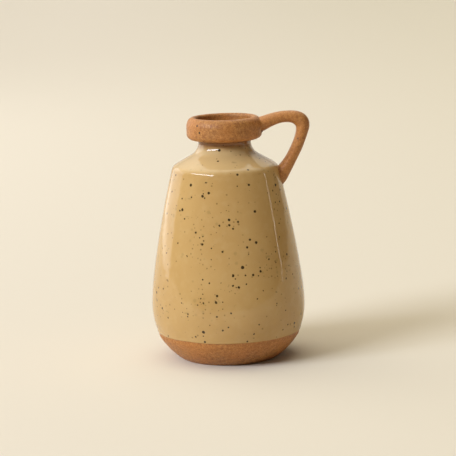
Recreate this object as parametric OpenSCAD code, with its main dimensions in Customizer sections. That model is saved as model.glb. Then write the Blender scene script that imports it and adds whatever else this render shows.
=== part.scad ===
// Stoneware jug vase, in millimetres.
// A wheel-thrown body, a heavy rim collar and a pulled handle are luted together with slip.
// The body wears a glossy speckled coat outside and a thin liner glaze inside; the rest is bare clay.
// It stands on z = 0, its throwing axis is Z and its handle points towards +X.

/* [Overall] */
// Height of the lip above the table
lip_h = 189.5; // [158:0.5:228]
// Widest diameter of the clay body, without its glaze
belly_d = 119; // [99:0.5:144]
// Height of the widest point above the table
belly_z = 43; // [36:0.5:56]

/* [Foot] */
// Outer diameter of the ring that touches the table
foot_d = 75; // [62:0.2:90]
// Width of the foot ring's flat face
foot_ring_w = 8; // [4:0.5:14]
// Depth of the turned hollow inside the foot ring
foot_recess = 2; // [0.5:0.1:3]
// Angle above the table at which the trimmed foot leaves the ring
foot_slope = 29; // [24:1:44]
// Length over which the foot keeps that angle
foot_ease = 10.8; // [6:0.1:12]
// Height of the soft edge between the trimmed foot and the thrown wall
knee_z = 18.4; // [14:0.1:24]
// How far that edge lies inside the widest radius
knee_inset = 4.4; // [2.5:0.1:6]
// Angle of the wall at that edge
knee_slope = 77.5; // [70:0.5:86]

/* [Wall] */
// Thickness of the thrown wall
wall_t = 4.5; // [3.5:0.1:5.5]
// Thickness of the floor above the table
floor_t = 6.5; // [5.5:0.1:9]
// Length over which the wall stays near upright below the widest point
belly_ease_below = 12.5; // [6:0.5:16]
// Length over which the wall stays near upright above the widest point
belly_ease_above = 24.8; // [10:0.2:34]

/* [Shoulder and neck] */
// Diameter at the edge where the wall turns into the shoulder, edge left sharp
shoulder_d = 81.2; // [74:0.1:90]
// Drop from the lip to that edge
shoulder_drop = 38.2; // [34:0.1:44]
// How far the wall leans inwards below the edge
wall_lean = 15.8; // [10:0.2:20]
// Length over which the wall keeps that lean
wall_ease = 19; // [8:0.5:26]
// Rise of the shoulder above the horizontal
shoulder_slope = 30; // [27:0.2:33]
// Radius of the shoulder edge outside
shoulder_round = 5; // [2:0.1:6]
// Radius of the same turn inside
shoulder_round_inside = 6; // [3:0.5:9]
// Outer diameter of the clay neck
neck_d = 40; // [38:0.2:44]
// Bore of the neck
neck_bore_d = 31; // [25:0.2:32]
// Radius of the hollow between shoulder and neck
neck_cove = 12; // [3:0.5:12.5]
// Radius of the turn from the shoulder's inside into the bore
neck_round_inside = 3; // [1:0.1:4]
// Drop from the lip to the top of the neck, where the collar is luted on
seat_drop = 18.7; // [18.2:0.1:21]

/* [Rim collar] */
// Outer diameter of the collar
collar_d = 59; // [53:0.2:71]
// Thickness of the rim
rim_t = 7.3; // [6.6:0.1:8.5]
// Rise of the collar's underside above the horizontal
underside_slope = 10; // [4:1:20]
// Radius between the collar's underside and its side
underside_round = 4.5; // [1.5:0.1:5]
// Width of the lip's outer rounding
lip_round_w = 5.2; // [3:0.1:6]
// Height of the lip's outer rounding
lip_round_h = 7; // [4:0.1:8]
// Depth of the straight part of the mouth
mouth_depth = 13; // [10:0.1:13.5]
// Height over which the mouth narrows to the bore
mouth_taper = 4.5; // [3:0.1:5]

/* [Handle] */
// Thickness of the handle
handle_t = 8.8; // [7:0.1:11]
// Width of the handle across its back
handle_w = 12.5; // [9:0.1:16]
// How far the handle rises above the lip
handle_rise = 3.1; // [1:0.1:6]
// How far the handle reaches out from the collar
handle_reach = 37; // [32:0.5:45]
// Drop from the lip to the middle of the upper root
upper_root_drop = 6.35; // [6:0.05:7]
// Angle at which the handle leaves the collar
upper_root_slope = 22; // [14:1:30]
// Drop down the wall from the shoulder edge to the middle of the lower root
lower_root_drop = 8.9; // [6:0.1:12]
// Angle above the horizontal at which the handle leaves the wall
lower_root_slope = 50; // [44:1:60]
// Distance from the top of the handle to its outermost point, across
bend_run = 11.5; // [9:0.1:14]
// Distance from the top of the handle to its outermost point, down
bend_fall = 7.1; // [6:0.1:10]
// Extra thickness in the bend
bend_swell = 2.7; // [0:0.1:3.5]
// Length of handle over which each root spreads
root_spread_len = 20; // [12:1:22]
// Extra thickness and extra width at the upper root
upper_root_spread = [2.4, 3.5]; // [0:0.1:5]
// Extra thickness and extra width at the lower root
lower_root_spread = [4, 2.5]; // [0:0.1:5]

/* [Glaze and slip] */
// Thickness of the outer glaze
glaze_t = 0.5; // [0.3:0.05:0.8]
// Height of the line where the outer glaze stops
glaze_line = 21.5; // [20:0.5:40]
// Thickness of the glaze inside
liner_t = 0.4; // [0.3:0.05:0.8]
// Thickness of the slip in each luted joint
lute_t = 0.6; // [0.4:0.05:1]

/* [Hidden] */

$fn = 180;
CLAY = "#b9774a";
SLIP = "#8a5330";
GLAZE = "#c6a068";
LINER = "#a9855a";

// Steps along each curve of a profile
curve_steps = 12;
wall_steps = 26;
round_steps = 6;
// Least rise between the wall's last point and the rounding of the shoulder edge
edge_gap = 0.5;

belly_r = belly_d / 2;
bore_r = neck_bore_d / 2;
collar_r = collar_d / 2;
collar_neck_r = neck_d / 2 + glaze_t;
shoulder_corner = [shoulder_d / 2, lip_h - shoulder_drop];
seat_z = lip_h - seat_drop;
collar_z = seat_z + lute_t;

// Directions along the wall, the shoulder and the neck, going up
wall_dir = [-sin(wall_lean), cos(wall_lean)];
shoulder_dir = [-cos(shoulder_slope), sin(shoulder_slope)];
neck_dir = [0, 1];

// ---- plane geometry ------------------------------------------------------

function unit(v) = v / norm(v);

// A direction turned a quarter anticlockwise, and a quarter clockwise
function left_of(v) = [-v.y, v.x];
function right_of(v) = [v.y, -v.x];

function turned(v, angle) = [v.x * cos(angle) - v.y * sin(angle), v.x * sin(angle) + v.y * cos(angle)];

// Point at t on the cubic curve with end points a, d and controls b, c
function cubic(a, b, c, d, t) =
    pow(1 - t, 3) * a + 3 * pow(1 - t, 2) * t * b + 3 * (1 - t) * t * t * c + pow(t, 3) * d;

// The curve's points, without its last one
function cubic_run(a, b, c, d, steps) = [for (i = [0:steps - 1]) cubic(a, b, c, d, i / steps)];

// Arc of the given radius that rounds a corner between two directions
function rounded(corner, dir_in, dir_out, radius) =
    let (turn = atan2(dir_in.x * dir_out.y - dir_in.y * dir_out.x, dir_in * dir_out),
         reach = radius * tan(abs(turn) / 2),
         start = corner - reach * dir_in,
         centre = start + sign(turn) * radius * left_of(dir_in))
    [for (i = [0:round_steps]) centre + turned(start - centre, turn * i / round_steps)];

// Arc of an ellipse about a centre, between two angles
function oval_arc(centre, width, height, from, to) =
    [for (i = [0:round_steps])
        let (angle = from + (to - from) * i / round_steps)
        centre + [width * cos(angle), height * sin(angle)]];

// Where two lines that are both moved by the same offset along their normals meet
function mitred(corner, normal_a, normal_b, offset) =
    corner + offset * (normal_a + normal_b) / (1 + normal_a * normal_b);

// A path moved sideways, away from the axis for a path that climbs
function moved_out(path, offset) =
    [for (i = [0:len(path) - 1])
        let (before = path[max(i - 1, 0)], after = path[min(i + 1, len(path) - 1)])
        path[i] + offset * right_of(unit(after - before))];

// Radius at a height on a path that climbs
function radius_at(path, z) = lookup(z, [for (p = path) [p.y, p.x]]);

// The part of a climbing path above a height
function above(path, z) = concat([[radius_at(path, z), z]], [for (p = path) if (p.y > z) p]);

function backwards(path) = [for (i = [len(path) - 1:-1:0]) path[i]];

// ---- profile of the thrown body ------------------------------------------

// The wall from the foot ring to the shoulder, before it is moved by any offset
foot_point = [foot_d / 2, 0];
foot_dir = [cos(foot_slope), sin(foot_slope)];
knee = [belly_r - knee_inset, knee_z];
knee_dir = [cos(knee_slope), sin(knee_slope)];
knee_ease_below = 1.2;
knee_ease_above = 7;
belly = [belly_r, belly_z];
wall_line = concat(
    cubic_run(foot_point, foot_point + foot_ease * foot_dir, knee - knee_ease_below * knee_dir, knee,
              curve_steps),
    cubic_run(knee, knee + knee_ease_above * knee_dir, belly - [0, belly_ease_below], belly, curve_steps),
    cubic_run(belly, belly + [0, belly_ease_above], shoulder_corner - wall_ease * wall_dir,
              shoulder_corner, wall_steps));

// Shoulder edge, shoulder slope and neck, moved out by an offset and ending at the collar's seat
function shoulder_line(offset, neck_r, edge_round, neck_round) =
    let (edge = mitred(shoulder_corner, right_of(wall_dir), right_of(shoulder_dir), offset),
         neck_corner = [neck_r, edge.y + (edge.x - neck_r) * tan(shoulder_slope)])
    concat(rounded(edge, wall_dir, shoulder_dir, edge_round),
           rounded(neck_corner, shoulder_dir, neck_dir, neck_round),
           [[neck_r, seat_z]]);

// Wall and shoulder as one climbing path
function side(offset, neck_r, edge_round, neck_round) =
    let (top = shoulder_line(offset, neck_r, edge_round, neck_round))
    concat([for (p = moved_out(wall_line, offset)) if (p.y < top[0].y - edge_gap) p], top);

clay_side = side(0, neck_d / 2, shoulder_round, neck_cove);
inner_side = above(side(-wall_t, bore_r, shoulder_round_inside, neck_round_inside), floor_t);

// Outer surface of a coat of the given thickness over the clay
function coated_side(thickness) =
    side(thickness, neck_d / 2 + thickness, shoulder_round + thickness, neck_cove - thickness);

// ---- profile of the rim collar -------------------------------------------

underside_dir = [cos(underside_slope), sin(underside_slope)];
underside_end = [collar_r, collar_z + (collar_r - collar_neck_r) * tan(underside_slope)];
mouth_r = collar_r - rim_t;
mouth_z = lip_h - mouth_depth;
lip_round_inside = rim_t - lip_round_w;

collar_side = concat(
    [[collar_neck_r, collar_z]],
    rounded(underside_end, underside_dir, neck_dir, underside_round),
    oval_arc([collar_r - lip_round_w, lip_h - lip_round_h], lip_round_w, lip_round_h, 0, 90));

mouth_side = concat(
    oval_arc([mouth_r + lip_round_inside, lip_h - lip_round_inside], lip_round_inside, lip_round_inside,
            90 + 90 / round_steps, 180),
    cubic_run([mouth_r, mouth_z], [mouth_r, mouth_z - mouth_taper / 2],
              [bore_r, mouth_z - mouth_taper / 2], [bore_r, mouth_z - mouth_taper], curve_steps),
    [[bore_r, mouth_z - mouth_taper]]);

// ---- line, thickness and width of the handle ------------------------------

upper_root = [collar_r, lip_h - upper_root_drop];
upper_dir = [cos(upper_root_slope), sin(upper_root_slope)];
lower_root = shoulder_corner - lower_root_drop * wall_dir;
lower_dir = [cos(lower_root_slope), sin(lower_root_slope)];
// Where along the line the bend's extra thickness lies, before the outermost point, and its spread
swell_lead = 3.4;
swell_len = 7;
swell_at_bend = bend_swell * exp(-pow(swell_lead / swell_len, 2));
bend = [collar_r + handle_reach - (handle_t + swell_at_bend) / 2,
        lip_h + handle_rise - handle_t / 2 - bend_fall];
handle_top = bend + [-bend_run, bend_fall];

// Lengths over which the line keeps its direction at the roots, at the top and at the bend
upper_root_ease = 7.9;
top_ease = [7.5, 6.8];
bend_ease = [4.2, 9.5];
lower_root_ease = 12.2;
// How far the clay of each root runs on inside, where the joint cuts it off
root_run_in = 6;
// Steps along the line from the upper root to the top, on to the bend, and down to the lower root
rise_steps = 11;
over_steps = 10;
fall_steps = 18;
handle_sides = 20;

handle_line = concat(
    [upper_root - root_run_in * upper_dir],
    cubic_run(upper_root, upper_root + upper_root_ease * upper_dir, handle_top - [top_ease[0], 0],
              handle_top, rise_steps),
    cubic_run(handle_top, handle_top + [top_ease[1], 0], bend + [0, bend_ease[0]], bend,
              over_steps),
    cubic_run(bend, bend - [0, bend_ease[1]], lower_root + lower_root_ease * lower_dir, lower_root,
              fall_steps),
    [lower_root, lower_root - root_run_in * lower_dir]);
last_ring = len(handle_line) - 1;
bend_ring = 1 + rise_steps + over_steps;

// Distance along the handle to each of its rings, from the upper root
ring_steps = [for (i = [1:last_ring]) norm(handle_line[i] - handle_line[i - 1])];
function distance_to(i) = i == 0 ? -root_run_in : distance_to(i - 1) + ring_steps[i - 1];
ring_at = [for (i = [0:last_ring]) distance_to(i)];
handle_len = ring_at[last_ring - 1];
swell_at = ring_at[bend_ring] - swell_lead;

// 1 at the root, falling to 0 where the spread ends
function spread(distance) = pow(min(1, max(0, 1 - distance / root_spread_len)), 2);
function root_extra(s, k) =
    upper_root_spread[k] * spread(s) + lower_root_spread[k] * spread(handle_len - s);
function thickness_at(s) =
    handle_t + root_extra(s, 0) + bend_swell * exp(-pow((s - swell_at) / swell_len, 2));
function width_at(s) = handle_w + root_extra(s, 1);

// One oval ring of the handle, square to its line
function handle_ring(i) =
    let (before = handle_line[max(i - 1, 0)], after = handle_line[min(i + 1, last_ring)],
         across = left_of(unit(after - before)), s = ring_at[i])
    [for (k = [0:handle_sides - 1])
        let (angle = 360 * k / handle_sides,
             p = handle_line[i] + across * thickness_at(s) / 2 * sin(angle))
        [p.x, width_at(s) / 2 * cos(angle), p.y]];

// The handle's clay between two of its rings, roots not yet cut to fit
module handle_clay(first, last) {
    rings = last - first + 1;
    points = [for (i = [first:last]) each handle_ring(i)];
    sides = [for (i = [0:rings - 2], k = [0:handle_sides - 1])
        let (a = i * handle_sides + k, b = i * handle_sides + (k + 1) % handle_sides)
        each [[a, a + handle_sides, b], [b, a + handle_sides, b + handle_sides]]];
    start_cap = [for (k = [0:handle_sides - 1]) k];
    end_cap = [for (k = [handle_sides - 1:-1:0]) (rings - 1) * handle_sides + k];
    polyhedron(points, concat([start_cap], sides, [end_cap]), convexity = 6);
}

// Rings that hold each root
upper_root_rings = [0, 5];
lower_root_rings = [last_ring - 9, last_ring];

// ---- solids of revolution that the pieces share ---------------------------

module revolved(profile) {
    rotate_extrude() polygon(profile);
}

// Everything inside a climbing path, out to the axis
module filled(path) {
    revolved(concat([[0, path[0].y]], path, [[0, path[len(path) - 1].y]]));
}

// The layer between a climbing path and the same path moved out
module layer(inner, outer) {
    revolved(concat(inner, backwards(outer)));
}

module collar_block(extra) {
    filled(moved_out(collar_side, extra));
}

module body_block(extra) {
    filled(coated_side(extra));
}

// ---- sub-parts ------------------------------------------------------------

// Thrown body: foot ring, floor, wall, shoulder and neck
module body() {
    ring_r = foot_d / 2 - foot_ring_w;
    color(CLAY)
        revolved(concat(
            [[0, foot_recess], [ring_r - foot_recess, foot_recess], [ring_r, 0]],
            clay_side,
            backwards(inner_side),
            [[0, floor_t]]));
}

// Heavy raw-clay ring that makes the mouth
module rim_collar() {
    color(CLAY) revolved(concat(collar_side, mouth_side, [[bore_r, collar_z]]));
}

// Pulled handle, its roots cut to the collar and to the wall with room for the slip
module handle() {
    color(CLAY)
        difference() {
            handle_clay(0, last_ring);
            collar_block(lute_t);
            body_block(lute_t);
        }
}

// Glossy coat from the foot line to the collar, left open round the handle's lower root
module outer_glaze() {
    color(GLAZE)
        difference() {
            layer(above(clay_side, glaze_line), above(coated_side(glaze_t), glaze_line));
            handle_clay(lower_root_rings[0], lower_root_rings[1]);
        }
}

// Glaze that seals the inside, from the floor to the top of the shoulder
module liner_glaze() {
    sealed = [for (i = [0:len(inner_side) - round_steps - 2]) inner_side[i]];
    coat = above(moved_out(sealed, -liner_t), floor_t + liner_t);
    color(LINER)
        revolved(concat([[0, floor_t]], sealed, backwards(coat), [[0, floor_t + liner_t]]));
}

// Slip between the neck and the collar
module collar_lute() {
    color(SLIP)
        revolved([[bore_r, seat_z], [neck_d / 2, seat_z], [neck_d / 2, collar_z], [bore_r, collar_z]]);
}

// Slip between the handle and the collar
module handle_lute_upper() {
    color(SLIP)
        intersection() {
            handle_clay(upper_root_rings[0], upper_root_rings[1]);
            layer(collar_side, moved_out(collar_side, lute_t));
        }
}

// Slip between the handle and the wall
module handle_lute_lower() {
    color(SLIP)
        intersection() {
            handle_clay(lower_root_rings[0], lower_root_rings[1]);
            layer(clay_side, coated_side(lute_t));
        }
}

body();
rim_collar();
handle();
outer_glaze();
liner_glaze();
collar_lute();
handle_lute_upper();
handle_lute_lower();
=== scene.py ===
"""Looks of the stoneware jug vase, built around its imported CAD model. Lengths are in metres."""

import math

import bmesh
import bpy
import numpy as np
from mathutils import Matrix, Vector


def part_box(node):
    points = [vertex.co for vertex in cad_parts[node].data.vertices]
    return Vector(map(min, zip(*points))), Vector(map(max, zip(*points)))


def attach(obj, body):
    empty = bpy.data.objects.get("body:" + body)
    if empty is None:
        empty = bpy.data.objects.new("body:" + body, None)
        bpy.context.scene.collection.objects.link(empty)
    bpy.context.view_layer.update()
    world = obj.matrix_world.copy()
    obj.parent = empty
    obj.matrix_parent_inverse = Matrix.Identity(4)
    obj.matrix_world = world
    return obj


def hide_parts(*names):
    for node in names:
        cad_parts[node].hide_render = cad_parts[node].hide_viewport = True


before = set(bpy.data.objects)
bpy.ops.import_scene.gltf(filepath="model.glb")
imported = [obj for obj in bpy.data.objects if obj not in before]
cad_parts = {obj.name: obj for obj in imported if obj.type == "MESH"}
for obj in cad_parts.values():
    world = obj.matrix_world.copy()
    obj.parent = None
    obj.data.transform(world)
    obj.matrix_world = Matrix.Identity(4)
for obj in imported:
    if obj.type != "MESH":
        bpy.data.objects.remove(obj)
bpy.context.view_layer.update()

MM = 0.001
AROUND = 240  # faces round each thrown piece
ANGLES = np.arange(AROUND) * 2 * math.pi / AROUND
TURN_AT_CORNER = math.radians(27)  # a profile that turns more than this has an edge there
SAME = 0.001 * MM  # points nearer than this are one point
WELD = 0.002 * MM  # a piece's points nearer than this are joined
END_GAP = 0.01 * MM  # a closed outline whose ends are nearer than this has its last point left out
LEVEL = 0.02 * MM  # heights within this are level
STRAIGHT = 0.002  # a turn whose sine is under this is none
SHORTER = 2.5  # a stretch this many times shorter than its neighbour doesn't steer the curve
CORNER_SHARE = 0.4  # the most of a stretch that a rounded corner takes


# ---- profiles ---------------------------------------------------------------


def section(node):
    """Half section of a thrown CAD node, as (radius, height) points in order."""
    bm = bmesh.new()
    bm.from_mesh(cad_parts[node].data)
    bmesh.ops.remove_doubles(bm, verts=bm.verts, dist=SAME)
    cut = bmesh.ops.bisect_plane(
        bm,
        geom=[*bm.verts, *bm.edges, *bm.faces],
        plane_co=(0, 0, 0),
        plane_no=(1, 0, 0),
        dist=SAME,
    )["geom_cut"]
    beside = {}
    for e in cut:
        if isinstance(e, bmesh.types.BMEdge) and max(v.co.y for v in e.verts) < SAME:
            beside.setdefault(e.verts[0], set()).add(e.verts[1])
            beside.setdefault(e.verts[1], set()).add(e.verts[0])
    ends = [v for v in beside if len(beside[v]) == 1]
    start = min(ends or beside, key=lambda v: (v.co.z, v.co.y))
    chain, seen = [start], {start}
    while True:
        onward = [v for v in beside[chain[-1]] if v not in seen]
        if not onward:
            break
        step = min(onward, key=lambda v: v.co.y) if len(chain) == 1 else onward[0]
        chain.append(step)
        seen.add(step)
    points = np.array([(abs(v.co.y), v.co.z) for v in chain])
    bm.free()
    return points


def unit(v):
    """The vectors brought to length 1."""
    return v / np.maximum(np.linalg.norm(v, axis=-1, keepdims=True), 1e-12)


def simplified(points, closed):
    """The points without those that lie on a straight line between their neighbours."""
    keep = []
    count = len(points)
    for i in range(count):
        if not closed and i in (0, count - 1):
            keep.append(i)
            continue
        a, b, c = points[i - 1], points[i], points[(i + 1) % count]
        u, v = unit(b - a), unit(c - b)
        if abs(u[0] * v[1] - u[1] * v[0]) > STRAIGHT or u @ v < 0:
            keep.append(i)
    return points[keep]


def smooth(points, closed, step, edge):
    """A smooth outline through a profile's points. Its true corners stay, rounded over the length edge."""
    points = simplified(points, closed)
    count = len(points)
    lap = np.vstack([points, points[:1]]) if closed else points
    run = np.diff(lap, axis=0)
    length = np.linalg.norm(run, axis=1)
    heading = unit(run)
    made = []
    tangents = np.zeros((count, 2, 2))
    corner = np.zeros(count, bool)
    for i in range(count):
        before = (i - 1) % len(run) if closed or i > 0 else 0
        after = i % len(run) if closed or i < len(run) else len(run) - 1
        turn = math.acos(max(-1.0, min(1.0, float(heading[before] @ heading[after]))))
        corner[i] = turn > TURN_AT_CORNER
        if corner[i]:
            tangents[i] = heading[before], heading[after]
            continue
        if length[before] > SHORTER * length[after]:
            tangent = heading[before]
        elif length[after] > SHORTER * length[before]:
            tangent = heading[after]
        else:
            tangent = unit(length[after] * heading[before] + length[before] * heading[after])
        tangents[i] = tangent, tangent
    for i in range(len(run)):
        a, b = points[i], points[(i + 1) % count]
        ta, tb = tangents[i][1] * length[i], tangents[(i + 1) % count][0] * length[i]
        steps = max(2, round(length[i] / step))
        trim_a = min(CORNER_SHARE, edge / length[i]) if corner[i] else 0
        trim_b = min(CORNER_SHARE, edge / length[i]) if corner[(i + 1) % count] else 0
        shares = np.linspace(trim_a, 1 - trim_b, steps + 1)
        if not trim_b and i < len(run) - 1:
            shares = shares[:-1]
        for t in shares:
            made.append(
                (2 * t**3 - 3 * t**2 + 1) * a
                + (t**3 - 2 * t**2 + t) * ta
                + (3 * t**2 - 2 * t**3) * b
                + (t**3 - t**2) * tb
            )
        if trim_b:
            onward = points[(i + 2) % count] - b
            p, q = made[-1], b + onward * min(CORNER_SHARE, edge / length[(i + 1) % len(run)])
            for t in (0.25, 0.5, 0.75):
                made.append((1 - t) ** 2 * p + 2 * t * (1 - t) * b + t * t * q)
    made = np.array(made)
    if closed and np.linalg.norm(made[0] - made[-1]) < END_GAP:
        made = made[:-1]
    return made


def outward(path):
    """Unit normals of a climbing path, away from the axis."""
    heading = unit(np.gradient(path, axis=0))
    return np.stack([heading[:, 1], -heading[:, 0]], axis=1)


def climbing(path):
    """The outer side of a profile, from its lowest point up to its top."""
    side = path[: int(np.argmax(path[:, 1])) + 1]
    foot = np.flatnonzero(side[:, 1] < side[:, 1].min() + LEVEL)[-1]
    return side[foot:]


def along(path):
    """Distance along a path to each of its points."""
    return np.concatenate([[0], np.cumsum(np.linalg.norm(np.diff(path, axis=0), axis=1))])


# ---- meshes -----------------------------------------------------------------


# How far a hand-thrown pot is out of true, in millimetres: size, waves round it, phase and twist with height
OUT_OF_ROUND = ((0.10, 2, 0.6, 25), (0.06, 3, 2.1, -40), (0.03, 5, 0.0, 80))
RIM_WOBBLE = ((0.12, 1, 2.0), (0.08, 2, 0.5))
TRUE_R = 20 * MM  # inside this radius the pot is nearer to true
RIM_START, RIM_REACH = 165 * MM, 18 * MM  # where the rim's wobble begins, and over what height it grows


def uneven(points):
    """Moves points as a hand-thrown pot is out of true, by about a tenth of a millimetre."""
    x, y, z = points.T
    angle, radius = np.arctan2(y, x), np.hypot(x, y)
    ripple = sum(
        size * np.sin(count * angle + phase + twist * z) for size, count, phase, twist in OUT_OF_ROUND
    )
    wobble = sum(size * np.sin(count * angle + phase) for size, count, phase in RIM_WOBBLE) * MM
    reach = np.clip(radius / TRUE_R, 0, 1)
    scale = 1 + ripple * MM * reach / np.maximum(radius, MM)
    lift = np.clip((z - RIM_START) / RIM_REACH, 0, 1)
    return np.stack([x * scale, y * scale, z + lift * reach * wobble], axis=1)


def piece(name, points, faces, material, slot, *nodes):
    """A finished piece of the vase that rides on its body and stands for CAD nodes."""
    mesh = bpy.data.meshes.new(name)
    mesh.from_pydata(points.tolist(), [], faces)
    made = bpy.data.objects.new(name, mesh)
    bpy.context.scene.collection.objects.link(made)
    finish_mesh(made)
    mesh.materials.append(material)
    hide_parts(*nodes)
    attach(made, "root")
    return made


def finish_mesh(made):
    """Joins doubled points, turns every face outwards and shades the mesh smooth."""
    bm = bmesh.new()
    bm.from_mesh(made.data)
    bmesh.ops.remove_doubles(bm, verts=bm.verts, dist=WELD)
    bmesh.ops.dissolve_degenerate(bm, edges=bm.edges, dist=SAME)
    bmesh.ops.recalc_face_normals(bm, faces=bm.faces)
    bm.to_mesh(made.data)
    bm.free()
    made.data.shade_smooth()


def revolved(profile, closed):
    """Points and faces of a profile turned about the axis. An open profile starts and ends on the axis."""
    ring = np.stack([np.cos(ANGLES), np.sin(ANGLES)], axis=1)
    points = np.concatenate([np.column_stack([ring * r, np.full(AROUND, z)]) for r, z in profile])
    return points, grid_faces(len(profile), AROUND, closed)


def grid_faces(rows, across, closed_rows=False):
    """Faces between rows of a tube that closes round itself."""
    faces = []
    for j in range(rows if closed_rows else rows - 1):
        k = (j + 1) % rows
        for i in range(across):
            n = (i + 1) % across
            faces.append((j * across + i, j * across + n, k * across + n, k * across + i))
    return faces


def capped_tube(rings, start_caps, end_caps):
    """Points and faces of a tube of rings, closed at each end by rings that shrink to a point."""
    rows = [*start_caps, *rings, *end_caps]
    return np.concatenate(rows), grid_faces(len(rows), len(rings[0]))


# ---- materials --------------------------------------------------------------


class Shader:
    """A node material, with short ways to write its sums."""

    def __init__(self, name):
        self.material = bpy.data.materials.new(name)
        self.material.use_nodes = True
        self.tree = self.material.node_tree
        self.surface = self.tree.nodes["Principled BSDF"]
        coordinates = self.node("ShaderNodeTexCoord").outputs["Object"]
        self.place = self.vector("SCALE", coordinates, scale=1 / MM)

    def node(self, kind, **settings):
        """A new node with these settings."""
        made = self.tree.nodes.new(kind)
        for key, value in settings.items():
            setattr(made, key, value)
        return made

    def put(self, socket, value):
        """Links a node's output to a socket, or sets the socket to a plain value."""
        if isinstance(value, bpy.types.NodeSocket):
            self.tree.links.new(value, socket)
        else:
            socket.default_value = value

    def math(self, operation, *values):
        """The result of a sum on numbers."""
        made = self.node("ShaderNodeMath", operation=operation)
        for socket, value in zip(made.inputs, values):
            self.put(socket, value)
        return made.outputs[0]

    def vector(self, operation, *values, scale=None):
        """The result of a sum on vectors."""
        made = self.node("ShaderNodeVectorMath", operation=operation)
        for socket, value in zip(made.inputs, values):
            self.put(socket, value)
        if scale is not None:
            self.put(made.inputs["Scale"], scale)
        return made.outputs["Value" if operation == "DISTANCE" else "Vector"]

    def split(self, vector):
        """The x, y and z of a vector, or the red, green and blue of a colour."""
        made = self.node("ShaderNodeSeparateXYZ")
        self.put(made.inputs[0], vector)
        return made.outputs

    def ramp(self, value, low, high, start=0.0, end=1.0):
        """value brought from low..high to start..end, smoothly and without going past."""
        made = self.node("ShaderNodeMapRange", interpolation_type="SMOOTHSTEP")
        for socket, number in zip(made.inputs, (value, low, high, start, end)):
            self.put(socket, number)
        return made.outputs["Result"]

    def noise(self, size, detail=2.0, place=None, seed=0.0, roughness=0.5):
        """Smooth noise from 0 to 1 with lumps of about size millimetres."""
        made = self.node("ShaderNodeTexNoise", noise_dimensions="3D")
        shifted = self.vector("ADD", place or self.place, (seed * 37, seed * 19, seed * 53))
        self.put(made.inputs["Vector"], shifted)
        self.put(made.inputs["Scale"], 1 / size)
        self.put(made.inputs["Detail"], detail)
        self.put(made.inputs["Roughness"], roughness)
        return made

    def mix(self, share, a, b):
        """Colour a where share is 0, and colour b where it is 1."""
        made = self.node("ShaderNodeMix", data_type="RGBA")
        self.put(made.inputs["Factor"], share)
        self.put(made.inputs["A"], a)
        self.put(made.inputs["B"], b)
        return made.outputs["Result"]

    def warped(self, size, amount):
        """Coordinates shaken by noise, which makes round spots ragged."""
        shake = self.vector("SUBTRACT", self.noise(size).outputs["Color"], (0.5, 0.5, 0.5))
        return self.vector("ADD", self.place, self.vector("SCALE", shake, scale=2 * amount))

    def spots(self, place, cell, share, radius, blur, seed, density=1.0):
        """Round spots scattered through a material: 1 inside a spot, 0 outside. Sizes are in millimetres."""
        shifted = self.vector("ADD", place, (seed * 71, seed * 29, seed * 43))
        cells = self.node("ShaderNodeTexVoronoi", voronoi_dimensions="3D", feature="F1")
        self.put(cells.inputs["Vector"], shifted)
        self.put(cells.inputs["Scale"], 1 / cell)
        luck = self.split(cells.outputs["Color"])
        away = self.math("MULTIPLY", cells.outputs["Distance"], cell)
        size = self.math("MULTIPLY_ADD", luck[1], (1 - SMALLEST_SPOT) * radius, SMALLEST_SPOT * radius)
        inside = self.ramp(self.math("SUBTRACT", away, size), blur, -blur)
        picked = self.math("LESS_THAN", luck[0], self.math("MULTIPLY", density, share))
        return self.math("MULTIPLY", inside, picked)

    def bump(self, height, strength, depth):
        """Fine relief of a surface: its normal where a height of 1 stands depth metres proud."""
        made = self.node("ShaderNodeBump")
        self.put(made.inputs["Strength"], strength)
        self.put(made.inputs["Distance"], depth)
        self.put(made.inputs["Height"], height)
        return made.outputs["Normal"]

    def finish(self, **sockets):
        """The material, with these values on its surface shader's sockets."""
        for name, value in sockets.items():
            self.put(self.surface.inputs[name.replace("_", " ")], value)
        return self.material


FIRED_IOR = 1.5  # refractive index of glaze and of fired clay's surface
SMALLEST_SPOT = 0.4  # the smallest spots' radius, as a share of the largest
SPOT_BLUR = 0.14  # half-width of a placed speck's soft edge, in millimetres


def colour(red, green, blue):
    """A colour in display values from 0 to 255, as the renderer's linear values."""
    shares = [c / 255 for c in (red, green, blue)]
    return tuple(c / 12.92 if c <= 0.04045 else ((c + 0.055) / 1.055) ** 2.4 for c in shares) + (1.0,)


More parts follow.
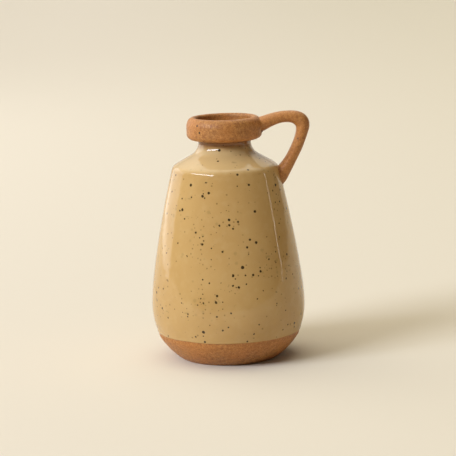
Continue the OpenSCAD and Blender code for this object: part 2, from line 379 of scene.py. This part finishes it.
def bare_clay(name):
    """Toasted stoneware, matt, with grog, pinholes and a few iron specks."""
    s = Shader(name)
    broad = s.noise(22, 2, seed=1).outputs["Fac"]
    mottle = s.noise(2.4, 4, seed=2, roughness=0.7).outputs["Fac"]
    grain = s.noise(0.8, 3, seed=3, roughness=0.7).outputs["Fac"]
    tone = s.mix(s.ramp(mottle, 0.25, 0.75), CLAY_DARK, CLAY_LIGHT)
    tone = s.mix(s.ramp(broad, 0.35, 0.65, 0, 0.45), tone, CLAY_ORANGE)
    tone = s.mix(s.ramp(grain, 0.52, 0.68, 0, 0.55), tone, CLAY_DARK)
    tone = s.mix(s.ramp(grain, 0.46, 0.3, 0, 0.4), tone, CLAY_PALE)
    ragged = s.warped(0.9, 0.22)
    pits = s.spots(ragged, 2.0, 0.5, 0.45, 0.14, 4)
    iron = s.spots(ragged, 6.5, 0.32, 0.62, 0.16, 6)
    tone = s.mix(s.math("MULTIPLY", pits, 0.6), tone, CLAY_PIT)
    tone = s.mix(s.math("MULTIPLY", iron, 0.8), tone, IRON)
    for spot in COLLAR_SPOTS:
        tone = s.mix(s.math("MULTIPLY", placed_spot(s, ragged, *spot), 0.9), tone, IRON)
    height = s.math("MULTIPLY_ADD", grain, 0.05, s.math("MULTIPLY", mottle, 0.12))
    height = s.math("SUBTRACT", height, s.math("MULTIPLY", pits, 0.06))
    relief = s.bump(height, 0.8, MM)
    rough = s.ramp(grain, 0.3, 0.7, 0.42, 0.6)
    return s.finish(Base_Color=tone, Roughness=rough, Normal=relief, IOR=FIRED_IOR)


def placed_spot(s, place, angle, height, size):
    """One speck on the collar, at an angle from the handle, a height and a size in millimetres."""
    radius = float(np.interp(height * MM, collar_side[:, 1], collar_side[:, 0])) / MM
    turn = math.radians(angle)
    centre = (radius * math.cos(turn), radius * math.sin(turn), height)
    away = s.vector("DISTANCE", place, centre)
    return s.ramp(away, size / 2 + SPOT_BLUR, size / 2 - SPOT_BLUR)


SHOULDER = 151.0  # height of the shoulder's edge in millimetres, above which the glaze is made paler as painted light from above
BELLY_LOW, BELLY_FULL = 28, 60  # heights between which the specks grow to their full number


def speckled_glaze(name):
    """Glossy tan glaze with iron specks at several depths, which thins to brown under the collar and is
    darkened there as painted shade of the collar. Above the shoulder's edge it is made paler as painted
    light.
    """
    s = Shader(name)
    height = s.split(s.place)[2]
    drift = s.noise(34, 3, seed=6).outputs["Fac"]
    milk = s.noise(6, 3, seed=7).outputs["Fac"]
    tone = s.mix(s.ramp(drift, 0.3, 0.7), GLAZE_LIGHT, GLAZE_DEEP)
    tone = s.mix(s.ramp(milk, 0.45, 0.75, 0, 0.16), tone, GLAZE_MILK_AND_PAINTED_LIGHT)
    frayed = s.math("MULTIPLY_ADD", milk, 3.0, height)
    # Painted light: above the shoulder's edge the glaze is mixed towards the pale colour, for the light and
    # sheen from above
    tone = s.mix(s.ramp(frayed, SHOULDER - 1, SHOULDER + 4, 0, 0.75), tone, GLAZE_MILK_AND_PAINTED_LIGHT)
    collar_foot = collar_foot_z / MM
    # Thin glaze and painted shade: under the collar the glaze is mixed towards dark brown, partly for its
    # thinness and partly for the collar's shade
    tone = s.mix(s.ramp(frayed, collar_foot - 6.0, collar_foot + 0.5, 0, 1.0), tone, GLAZE_THIN_AND_PAINTED_SHADE)
    ragged = s.warped(1.3, 0.3)
    clusters = s.ramp(s.noise(30, 1, seed=8).outputs["Fac"], 0.4, 0.62, 0.25, 1.5)
    above_foot = s.ramp(height, BELLY_LOW, BELLY_FULL, 0.45, 1.0)
    below_shoulder = s.ramp(height, SHOULDER - 8, SHOULDER, 1.0, 0.5)
    density = s.math("MULTIPLY", clusters, s.math("MULTIPLY", above_foot, below_shoulder))
    smears = s.vector("MULTIPLY", ragged, (0.4, 0.4, 1.3))
    # Each layer: where its spots are, how strong they are and their colour
    layers = (
        (s.spots(ragged, 6.5, 0.5, 1.5, 0.6, 9, density), 0.25, GLAZE_BLOOM),
        (s.spots(smears, 8.0, 0.4, 1.0, 0.5, 10, density), 0.35, GLAZE_BLOOM),
        (s.spots(ragged, 3.6, 0.6, 0.8, 0.25, 11, density), 0.6, IRON_SUNK),
        (s.spots(ragged, 4.6, 0.55, 1.0, 0.18, 12, density), 0.88, IRON),
        (s.spots(ragged, 7.0, 0.5, 1.4, 0.18, 13, density), 0.93, IRON),
    )
    for mask, strength, ink in layers:
        tone = s.mix(s.math("MULTIPLY", mask, strength), tone, ink)
    swell = s.noise(9, 1, seed=14).outputs["Fac"]
    relief = s.bump(swell, 0.12, MM)
    rough = s.ramp(milk, 0.3, 0.7, 0.045, 0.085)
    return s.finish(Base_Color=tone, Roughness=rough, Normal=relief, IOR=FIRED_IOR)


def liner(name):
    """Thin brown gloss on the inside, pooled in the throwing rings."""
    s = Shader(name)
    rings = s.noise(5, 3, seed=15, place=s.vector("MULTIPLY", s.place, (0.15, 0.15, 1.6)))
    tone = s.mix(s.ramp(rings.outputs["Fac"], 0.3, 0.7), LINER_DARK, LINER_LIGHT)
    specks = s.spots(s.warped(1.3, 0.3), 5.0, 0.35, 0.6, 0.2, 16)
    tone = s.mix(s.math("MULTIPLY", specks, 0.6), tone, IRON)
    rough = s.ramp(s.noise(3, 2, seed=17).outputs["Fac"], 0.3, 0.7, 0.16, 0.3)
    return s.finish(Base_Color=tone, Roughness=rough, IOR=FIRED_IOR)


def fired_slip(name):
    """Dark matt joining slip."""
    s = Shader(name)
    grain = s.noise(0.8, 3, seed=18).outputs["Fac"]
    tone = s.mix(s.ramp(grain, 0.3, 0.7), SLIP_DARK, SLIP_LIGHT)
    relief = s.bump(grain, 1.0, 0.1 * MM)
    rough = s.ramp(grain, 0.3, 0.7, 0.6, 0.8)
    return s.finish(Base_Color=tone, Roughness=rough, Normal=relief)


# Colours, in display values
CLAY_LIGHT = colour(194, 136, 72)
CLAY_DARK = colour(134, 78, 33)
CLAY_ORANGE = colour(190, 120, 54)
CLAY_PALE = colour(222, 174, 116)
CLAY_PIT = colour(84, 44, 20)
IRON = colour(36, 25, 13)
IRON_SUNK = colour(112, 88, 48)
GLAZE_LIGHT = colour(192, 155, 98)
GLAZE_DEEP = colour(186, 148, 91)
# Thin brown glaze, darkened further as painted shade under the collar
GLAZE_THIN_AND_PAINTED_SHADE = colour(134, 88, 44)
# Pale milky glaze, also used as painted light from above on the shoulder
GLAZE_MILK_AND_PAINTED_LIGHT = colour(205, 175, 125)
GLAZE_BLOOM = colour(125, 108, 62)
LINER_DARK = colour(120, 72, 42)
LINER_LIGHT = colour(150, 96, 58)
SLIP_DARK = colour(70, 38, 20)
SLIP_LIGHT = colour(100, 58, 32)
FLOOR = colour(228, 219, 204)
# Darker floor colour, used as painted shade on the handle's side
FLOOR_PAINTED_SHADE = colour(219, 210, 190)

# Two specks that stand out on the collar: angle from the handle, height and size, in degrees and millimetres
COLLAR_SPOTS = ((-135, 185, 1.5), (-130, 180, 1.7))


# ---- thrown pieces ----------------------------------------------------------

# Each profile's step between points and the length over which its corners are rounded
body_profile = smooth(section("body"), False, 1.6 * MM, 0.35 * MM)
clay_side = climbing(body_profile)
collar_profile = smooth(section("rim_collar"), True, 1.2 * MM, 0.3 * MM)
collar_side = climbing(collar_profile)
liner_profile = smooth(section("liner_glaze"), False, 1.6 * MM, 0.1 * MM)

collar_foot_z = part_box("rim_collar")[0].z
glaze_low, glaze_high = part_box("outer_glaze")
glaze_t = glaze_high.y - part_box("body")[1].y

CLAY = bare_clay("bare_clay")
GLAZE = speckled_glaze("speckled_glaze")
LINER = liner("liner_glaze")
SLIP = fired_slip("fired_slip")

for name, profile, closed, material, slot in (
    ("body", body_profile, False, CLAY, "bare_clay"),
    ("rim_collar", collar_profile, True, CLAY, "bare_clay"),
    ("liner_glaze", liner_profile, False, LINER, "liner_glaze"),
):
    points, faces = revolved(profile, closed)
    piece("thrown_" + name, uneven(points), faces, material, slot, name)


# ---- outer glaze ------------------------------------------------------------

neck_r = clay_side[-1, 0]

BEAD = 0.55 * MM  # height over which the coat's lower edge rounds to its full thickness
ROLL, ROLL_AT, ROLL_LEN = 0.14, 1.1 * MM, 0.8 * MM  # the roll above that edge: share, place and length
CLIMB, CLIMB_LEN = 1.2 * MM, 1.3 * MM  # how much the coat gathers against the collar, and over what length
LAST_POINT = 0.3 * MM  # how far below the coat's top its path leaves the clay's profile
COLLAR_GAP = 0.03 * MM  # between the coat's top and the collar
TOP_ROWS = 10  # rows of faces in the coat's uppermost stretch

# Waves of the coat's lower edge: size in millimetres, waves round the pot and phase
EDGE_WAVES = ((0.16, 2, 1.0), (0.12, 5, 0.4), (0.07, 9, 2.0), (0.04, 17, 0.9))
EDGE_ROWS = np.array([0, 0.02, 0.06, 0.12, 0.2, 0.3, 0.42, 0.55, 0.8, 1.2, 1.8, 2.6]) * MM
GLAZE_STEP = 1.5 * MM


def edge_wave(angle):
    """How far the coat's lower edge strays up and down the wall."""
    return sum(size * np.sin(count * angle + phase) for size, count, phase in EDGE_WAVES) * MM


def coat():
    """The glaze: a shell on the clay whose lower edge rolls in, and whose top meets the collar."""
    top = np.array([[neck_r, collar_foot_z - COLLAR_GAP]])
    below = clay_side[:, 1] < top[0, 1] - LAST_POINT
    path = np.vstack([clay_side[below], top])
    reach = along(path)
    normal = outward(path)
    start = np.interp(glaze_low.z, path[:, 1], reach)
    span = reach[-1] - start
    top_start = span - 3 * GLAZE_STEP
    wall_rows = np.arange(EDGE_ROWS[-1] + GLAZE_STEP, top_start, GLAZE_STEP)
    rows = np.concatenate([EDGE_ROWS, wall_rows, np.linspace(top_start, span, TOP_ROWS)])
    shells = {"skin": [], "back": []}
    for up in rows:
        at = start + edge_wave(ANGLES) * (1 - up / span) + up
        radius, height = (np.interp(at, reach, path[:, k]) for k in (0, 1))
        across, rise = (np.interp(at, reach, normal[:, k]) for k in (0, 1))
        rounding = math.sqrt(1 - (1 - min(up / BEAD, 1)) ** 2)
        roll = ROLL * math.exp(-(((up - ROLL_AT) / ROLL_LEN) ** 2))
        climb = CLIMB * math.exp(-(((span - up) / CLIMB_LEN) ** 2))
        drift = 0.06 * np.sin(3 * ANGLES + 45 * height) + 0.04 * np.sin(7 * ANGLES - 90 * height)
        thick = glaze_t * rounding * (1 + roll + drift * rounding) + climb
        for shell, depth in (("skin", thick), ("back", 0 * thick)):
            out, lift = radius + across * depth, height + rise * depth
            shells[shell].append(np.column_stack([out * np.cos(ANGLES), out * np.sin(ANGLES), lift]))
    loop = [*shells["skin"], *shells["back"][::-1]]
    return np.concatenate(loop), grid_faces(len(loop), AROUND, True)


# ---- handle -----------------------------------------------------------------

SIDES = 48
TURN = np.arange(SIDES) * 2 * math.pi / SIDES
RISE_ANGLE, FALL_ANGLE = math.radians(22), math.radians(50)
handle_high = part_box("handle")[1]
collar_r, _, lip_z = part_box("rim_collar")[1]

HANDLE_T, HANDLE_W = 8.8 * MM, 12.5 * MM
SQUARENESS = 2.2  # 2 is an oval section, and more is squarer
BEND_SWELL, SWELL_LEAD, SWELL_LEN = 2.7 * MM, 3.4 * MM, 7 * MM
SPREAD_LEN = 20 * MM
UPPER_SPREAD, LOWER_SPREAD = (2.4 * MM, 3.5 * MM), (4.0 * MM, 2.5 * MM)  # thickness and width added at a root
RUN_IN = 9 * MM  # how far the line runs on into the pot, where the ends are cut
UPPER_ROOT_DROP, LOWER_ROOT_DROP = 6.35 * MM, 46.8 * MM
BEND_FALL, BEND_RUN = 7.1 * MM, 11.5 * MM  # from the crest to the bend

# How far the line leaves each of its points straight before it turns to the next
UPPER_LEAD, CREST_LEAD_IN, CREST_LEAD_OUT = 7.9 * MM, 7.5 * MM, 6.8 * MM
BEND_LEAD_IN, BEND_LEAD_OUT, LOWER_LEAD = 4.2 * MM, 9.5 * MM, 12.2 * MM
CURVE_STEPS = 60
BEND_POINT = 1 + 2 * CURVE_STEPS  # the bend's place in the line's list of points

swell_at_bend = BEND_SWELL * math.exp(-((SWELL_LEAD / SWELL_LEN) ** 2))
bend = np.array([handle_high.x - (HANDLE_T + swell_at_bend) / 2, handle_high.z - HANDLE_T / 2 - BEND_FALL])
crest = bend + [-BEND_RUN, BEND_FALL]
upper_root = np.array([collar_r, lip_z - UPPER_ROOT_DROP])
lower_z = lip_z - LOWER_ROOT_DROP
lower_root = np.array([np.interp(lower_z, clay_side[:, 1], clay_side[:, 0]), lower_z])
upper_dir = np.array([math.cos(RISE_ANGLE), math.sin(RISE_ANGLE)])
lower_dir = np.array([math.cos(FALL_ANGLE), math.sin(FALL_ANGLE)])


def cubic(a, b, c, d):
    """Points of a curve that leaves a towards b and comes to d from c, without d itself."""
    t = np.linspace(0, 1, CURVE_STEPS, endpoint=False)[:, None]
    return (1 - t) ** 3 * a + 3 * (1 - t) ** 2 * t * b + 3 * (1 - t) * t * t * c + t**3 * d


handle_line = np.vstack([
    [upper_root - RUN_IN * upper_dir],
    cubic(upper_root, upper_root + UPPER_LEAD * upper_dir, crest - [CREST_LEAD_IN, 0], crest),
    cubic(crest, crest + [CREST_LEAD_OUT, 0], bend + [0, BEND_LEAD_IN], bend),
    cubic(bend, bend - [0, BEND_LEAD_OUT], lower_root + LOWER_LEAD * lower_dir, lower_root),
    [lower_root, lower_root - RUN_IN * lower_dir],
])
line_at = along(handle_line) - RUN_IN
line_dir = unit(np.gradient(handle_line, axis=0))
handle_len = line_at[-2]
swell_at = line_at[BEND_POINT] - SWELL_LEAD


def spread(distance):
    """How much of a root's spread is left at a distance from it, from 1 to 0."""
    return np.clip(1 - distance / SPREAD_LEN, 0, 1) ** 2


def handle_point(s, scale=1.0, extra=0.0):
    """Points round the handle's section at distances s along its line, with extra half-width."""
    middle = np.stack([np.interp(s, line_at, handle_line[:, k]) for k in (0, 1)], axis=-1)
    heading = unit(np.stack([np.interp(s, line_at, line_dir[:, k]) for k in (0, 1)], axis=-1))
    upper, lower = spread(s), spread(handle_len - s)
    swell = BEND_SWELL * np.exp(-(((s - swell_at) / SWELL_LEN) ** 2))
    thick = HANDLE_T + UPPER_SPREAD[0] * upper + LOWER_SPREAD[0] * lower + swell
    width = HANDLE_W + UPPER_SPREAD[1] * upper + LOWER_SPREAD[1] * lower
    over = np.sign(np.sin(TURN)) * np.abs(np.sin(TURN)) ** (2 / SQUARENESS)
    side = np.sign(np.cos(TURN)) * np.abs(np.cos(TURN)) ** (2 / SQUARENESS)
    rise = scale * (thick / 2 * over + extra * np.sin(TURN))
    y = scale * (width / 2 * side + extra * np.cos(TURN))
    x = middle[..., 0] - heading[..., 1] * rise
    z = middle[..., 1] + heading[..., 0] * rise
    return np.stack([x, y, z], axis=-1)


HALVINGS = 40  # of the stretch in which a landing is looked for


def landing(surface, offset, ends, extra, scale=1.0):
    """Where each line along the handle meets a thrown surface, moved out by an offset."""
    moved = surface + offset * outward(surface)
    inside, outside = (np.full(SIDES, end) for end in ends)
    for _ in range(HALVINGS):
        middle = (inside + outside) / 2
        x, y, z = handle_point(middle, scale, extra).T
        out = np.hypot(x, y) > np.interp(z, moved[:, 1], moved[:, 0])
        outside, inside = np.where(out, middle, outside), np.where(out, inside, middle)
    return (inside + outside) / 2


def landed(surface, offset, ends, extra, scale=1.0):
    """The handle's section where it meets a thrown surface. A scale under 1 gives a ring inside it."""
    return handle_point(landing(surface, offset, ends, extra, scale), scale, extra)


def caps(surface, offset, ends, extra):
    """Rings that close a section which has landed, from its middle outwards."""
    return [landed(surface, offset, ends, extra, scale) for scale in CAP_SCALES]


def flare(distance, size):
    """Extra half-width of a root at a distance from the surface that it is smoothed onto."""
    inward = np.clip(1 - distance / size, 0, 1)
    return size * (1 - np.sqrt(1 - inward**2))


# Half-width that the roots have gained where they land
UPPER_FLARE = (2.6 - 0.8 * np.sin(TURN)) * MM
LOWER_FLARE = np.full(SIDES, 0.45 * MM)
SINK = 0.12 * MM  # how deep the upper root is pressed into the collar
STAND_OFF = 0.3 * MM  # how far the lower root stays off the clay, on its slip
END_ROWS = np.array([0, 0.05, 0.15, 0.3, 0.5, 0.8, 1.1, 1.5, 2.0, 2.7, 3.6, 4.8]) * MM
MIDDLE_ROWS = 56
CAP_SCALES = (0.0, 0.35, 0.7)
NEAR = 8 * MM  # how far from a root its landing is looked for
upper_ends = (-RUN_IN, NEAR)
lower_ends = (handle_len + NEAR, handle_len - NEAR)


def handle_mesh():
    """The handle: a swept oval whose ends land on the collar and on the wall."""
    top = landing(collar_side, -SINK, (-NEAR, NEAR), UPPER_FLARE)
    foot = landing(clay_side, STAND_OFF, lower_ends, LOWER_FLARE)
    begin, end = top + END_ROWS[-1], foot - END_ROWS[-1]
    shares = np.linspace(0, 1, MIDDLE_ROWS)[1:-1]
    places = [*(top + row for row in END_ROWS), *(begin + t * (end - begin) for t in shares)]
    places += [foot - row for row in END_ROWS[::-1]]
    rings = []
    for s in places:
        extra = flare(s - top, UPPER_FLARE) + flare(foot - s, LOWER_FLARE)
        rings.append(handle_point(s, 1.0, extra))
    start = caps(collar_side, -SINK, upper_ends, UPPER_FLARE)
    finish = caps(clay_side, STAND_OFF, lower_ends, LOWER_FLARE)
    return capped_tube(rings, start, finish[::-1])


def root_pad(surface, ends, layers, flared):
    """Slip squeezed between a root and the thrown surface: offset and bulge of each layer."""
    landings = [(surface, offset, ends, flared + bulge) for offset, bulge in layers]
    rings = [landed(*layer) for layer in landings]
    return capped_tube(rings, caps(*landings[0]), caps(*landings[-1])[::-1])


def cut_out(target, points, faces):
    """Cuts a closed mesh out of a piece."""
    mesh = bpy.data.meshes.new("cutter")
    mesh.from_pydata(points.tolist(), [], faces)
    cutter = bpy.data.objects.new("cutter", mesh)
    bpy.context.scene.collection.objects.link(cutter)
    finish_mesh(cutter)
    cut = target.modifiers.new("cut", "BOOLEAN")
    cut.object, cut.operation, cut.solver = cutter, "DIFFERENCE", "EXACT"
    bpy.context.view_layer.update()
    shape = target.evaluated_get(bpy.context.evaluated_depsgraph_get())
    done = bpy.data.meshes.new_from_object(shape)
    target.modifiers.remove(cut)
    target.data = done
    bpy.data.objects.remove(cutter)
    done.shade_smooth()


points, faces = handle_mesh()
piece("pulled_handle", uneven(points), faces, CLAY, "bare_clay", "handle")

ROOT_CLEARANCE = 0.75 * MM  # between the coat and the handle's lower root
HOLE_OUT, HOLE_IN = 14 * MM, 6 * MM  # the cutter's reach on each side of the wall
HOLE_ROWS = 24

points, faces = coat()
glaze_piece = piece("outer_glaze_coat", uneven(points), faces, GLAZE, "speckled_glaze", "outer_glaze")
root_rows = np.linspace(handle_len - HOLE_OUT, handle_len + HOLE_IN, HOLE_ROWS)
root_rings = [handle_point(np.full(SIDES, s), 1.0, ROOT_CLEARANCE) for s in root_rows]
root_start, root_end = ([handle_point(np.full(SIDES, s), 0.0)] for s in (root_rows[0], root_rows[-1]))
points, faces = capped_tube(root_rings, root_start, root_end)
cut_out(glaze_piece, uneven(points), faces)

# Offset from the thrown surface and bulge past the root of each layer of slip, from the pot outwards
LOWER_LAYERS = ((-0.1 * MM, 0.1 * MM), (0.1 * MM, 0.2 * MM), (0.28 * MM, 0.12 * MM), (0.36 * MM, -0.3 * MM))
UPPER_LAYERS = ((-0.2 * MM, -2.8 * MM), (0.2 * MM, -2.8 * MM), (0.6 * MM, -3.0 * MM))

points, faces = root_pad(clay_side, lower_ends, LOWER_LAYERS, LOWER_FLARE)
piece("lower_slip_joint", uneven(points), faces, SLIP, "fired_slip", "handle_lute_lower")

points, faces = root_pad(collar_side, upper_ends, UPPER_LAYERS, UPPER_FLARE)
piece("upper_slip_joint", uneven(points), faces, SLIP, "fired_slip", "handle_lute_upper")

points, faces = revolved(smooth(section("collar_lute"), True, 0.5 * MM, 0.2 * MM), True)
piece("collar_slip_joint", uneven(points), faces, SLIP, "fired_slip", "collar_lute")


# ---- studio -----------------------------------------------------------------


def staged(name, points, faces, material):
    """A thing in the studio that isn't part of the vase."""
    mesh = bpy.data.meshes.new(name)
    mesh.from_pydata(points, [], faces)
    made = bpy.data.objects.new(name, mesh)
    bpy.context.scene.collection.objects.link(made)
    mesh.materials.append(material)
    return made


VASE_MIDDLE = Vector((0, 0, 0.1))
WHITE = (1, 1, 1)
WARM, COOL, SOFT = (1.0, 0.91, 0.72), (0.93, 1.02, 1.18), (1.0, 0.97, 0.88)


def aimed(name, kind, azimuth, elevation, distance, **settings):
    """A light aimed at the vase. Azimuth 0 is the camera's side, and 90 the handle's."""
    light = bpy.data.lights.new(name, kind)
    for key, value in settings.items():
        setattr(light, key, value)
    made = bpy.data.objects.new(name, light)
    a, e = math.radians(azimuth), math.radians(elevation)
    back = Vector((math.sin(a) * math.cos(e), -math.cos(a) * math.cos(e), math.sin(e)))
    made.location = VASE_MIDDLE + back * distance
    made.rotation_mode = "QUATERNION"
    made.rotation_quaternion = (-back).to_track_quat("-Z", "Y")
    bpy.context.scene.collection.objects.link(made)
    made.visible_camera = False
    return made


def panel(name, azimuth, elevation, width, height, radiance, tint, diffuse=False, distance=2.0):
    """A soft panel of light that spans the given angles, in degrees, as seen from the vase."""
    wide, high = (2 * distance * math.tan(math.radians(angle / 2)) for angle in (width, height))
    power = radiance * math.pi * wide * high
    settings = {"shape": "RECTANGLE", "size": wide, "size_y": high, "energy": power, "color": tint}
    made = aimed(name, "AREA", azimuth, elevation, distance, **settings)
    made.visible_diffuse = diffuse


WALL_FACES = 48


def arc(radius, start, end, low, high):
    """Points and faces of an upright curved wall about the vase, between two azimuths."""
    angles = np.radians(np.linspace(start, end, WALL_FACES + 1))
    points = [(radius * math.sin(a), -radius * math.cos(a), z) for z in (low, high) for a in angles]
    above = WALL_FACES + 1
    faces = [(i, i + 1, i + 1 + above, i + above) for i in range(WALL_FACES)]
    return points, faces


def flat(front, back):
    """Points and faces of a stretch of floor that is as wide as the room."""
    points = [(-ROOM_R, front, 0), (ROOM_R, front, 0), (ROOM_R, back, 0), (-ROOM_R, back, 0)]
    return points, [(0, 1, 2, 3)]


ROOM_R, WALL_R, HIGH_WALL_R = 14.0, 13.0, 13.5
WALL_GLOW = 0.95
FLOOR_FRONT = -0.45  # the floor nearer to the camera than this doesn't show in the vase's gloss

# Painted shade: the floor's colour is a little darker on the handle's side, for light that falls off there
floor_shader = Shader("floor")
sideways, away, _ = floor_shader.split(floor_shader.place)
across = floor_shader.math("MULTIPLY_ADD", away, 0.03, sideways)
floor_tone = floor_shader.mix(floor_shader.ramp(across, -350, 700), FLOOR, FLOOR_PAINTED_SHADE)
floor_paint = floor_shader.finish(Base_Color=floor_tone, Roughness=1.0)
staged("floor", *flat(FLOOR_FRONT, ROOM_R), floor_paint)
floor_front = staged("floor_front", *flat(-ROOM_R, FLOOR_FRONT), floor_paint)

backdrop_paint = Shader("backdrop").finish(
    Base_Color=(0, 0, 0, 1), Roughness=1.0, Emission_Color=FLOOR, Emission_Strength=WALL_GLOW
)
backdrop = staged("backdrop", *arc(WALL_R, 136, 210, 0, 3), backdrop_paint)
front_wall = staged("backdrop_front", *arc(WALL_R, -150, 136, 0, 6), backdrop_paint)
high_wall = staged("backdrop_high", *arc(HIGH_WALL_R, -180, 180, 0, 16), backdrop_paint)
for wall in (backdrop, front_wall, high_wall):
    wall.visible_diffuse = wall.visible_shadow = False
for plain in (floor_front, front_wall, high_wall):
    plain.visible_glossy = False

world = bpy.data.worlds.new("studio")
world.use_nodes = True
background = world.node_tree.nodes["Background"]
background.inputs["Color"].default_value = (*WARM, 1)
background.inputs["Strength"].default_value = 0.14
bpy.context.scene.world = world

# The suns light the vase and the floor, and don't show in the gloss. The panels show in the gloss, and only
# the side one lights the vase as well.
sun = {"kind": "SUN", "distance": 3}
suns = [aimed("overhead", azimuth=-110, elevation=74, energy=1.85, angle=math.radians(80), color=WARM, **sun)]
for i, azimuth in enumerate((-46, -56, -66)):
    key = {"energy": 0.82, "angle": math.radians(12), "color": COOL}
    suns.append(aimed(f"key_{i}", azimuth=azimuth, elevation=30, **key, **sun))
for light in suns:
    light.visible_glossy = False
panel("softbox", -56, 31.5, 48, 9, 13, COOL)
for i, share in enumerate((0.5, 0.75, 1.0, 1.25)):
    panel(f"back_panel_{i}", -158, 62, 90 * share, 80 * share, 0.42, SOFT, distance=2 + i / 100)
panel("side_panel", -127, 10, 46, 32, 1.4, WHITE, diffuse=True)
panel("window_strip", 92.5, 8, 1.0, 20, 5, WHITE)


# ---- camera -----------------------------------------------------------------

CAMERA_BACK, CAMERA_UP = 1.6, 0.38
PITCH, YAW, ROLL = 0.1723, 0.0007, -0.0249  # radians: down, towards the handle, and about the line of sight
LENS, SENSOR = 163.6, 36  # millimetres

forward = Vector((math.sin(YAW) * math.cos(PITCH), math.cos(YAW) * math.cos(PITCH), -math.sin(PITCH)))
level = Vector((math.cos(YAW), -math.sin(YAW), 0))
upright = level.cross(forward)
right = math.cos(ROLL) * level + math.sin(ROLL) * upright
up = math.cos(ROLL) * upright - math.sin(ROLL) * level
camera_data = bpy.data.cameras.new("camera")
camera_data.lens = LENS
camera_data.sensor_width = SENSOR
camera = bpy.data.objects.new("camera", camera_data)
aim = Matrix((right, up, -forward)).transposed().to_4x4()
camera.matrix_world = Matrix.Translation((0, -CAMERA_BACK, CAMERA_UP)) @ aim
bpy.context.scene.collection.objects.link(camera)
bpy.context.scene.camera = camera
bpy.context.scene.view_settings.view_transform = "Standard"
